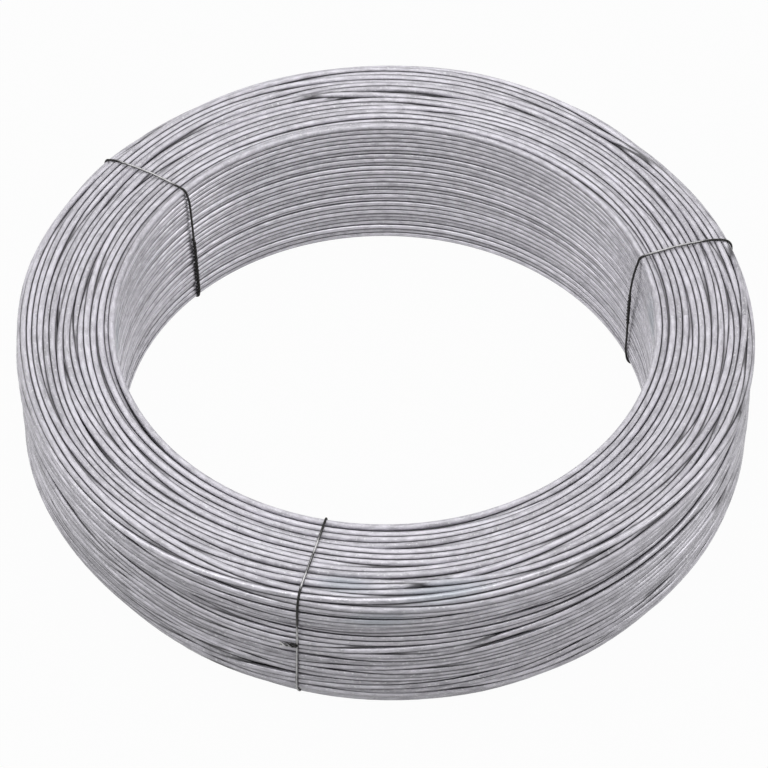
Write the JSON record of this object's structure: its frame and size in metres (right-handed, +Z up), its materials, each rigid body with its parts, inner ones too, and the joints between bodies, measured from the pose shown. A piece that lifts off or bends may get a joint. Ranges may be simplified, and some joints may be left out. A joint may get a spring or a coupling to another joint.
{
  "type": "coil of galvanised wire",
  "caption": "Ring-shaped coil of bright galvanised wire with an open bore, lying flat and bound by thin wire ties round its section.",
  "frame": {"origin": "centre of the bore, on the floor that the ties rest on", "axes": "+Z up along the axis of the bore; the picture looks from the -Y side, with +X to its right"},
  "size_m": [0.3539, 0.354, 0.0822],
  "materials": {
    "coil_wire": "bright zinc, satin, drawn along the wire",
    "tie_wire": "zinc, dull, darker than the coil"
  },
  "bodies": {
    "root": {"wire_coil": "coil_wire", "tie_wire_right": "tie_wire", "tie_wire_left": "tie_wire", "tie_wire_front": "tie_wire"}
  },
  "joints": []
}
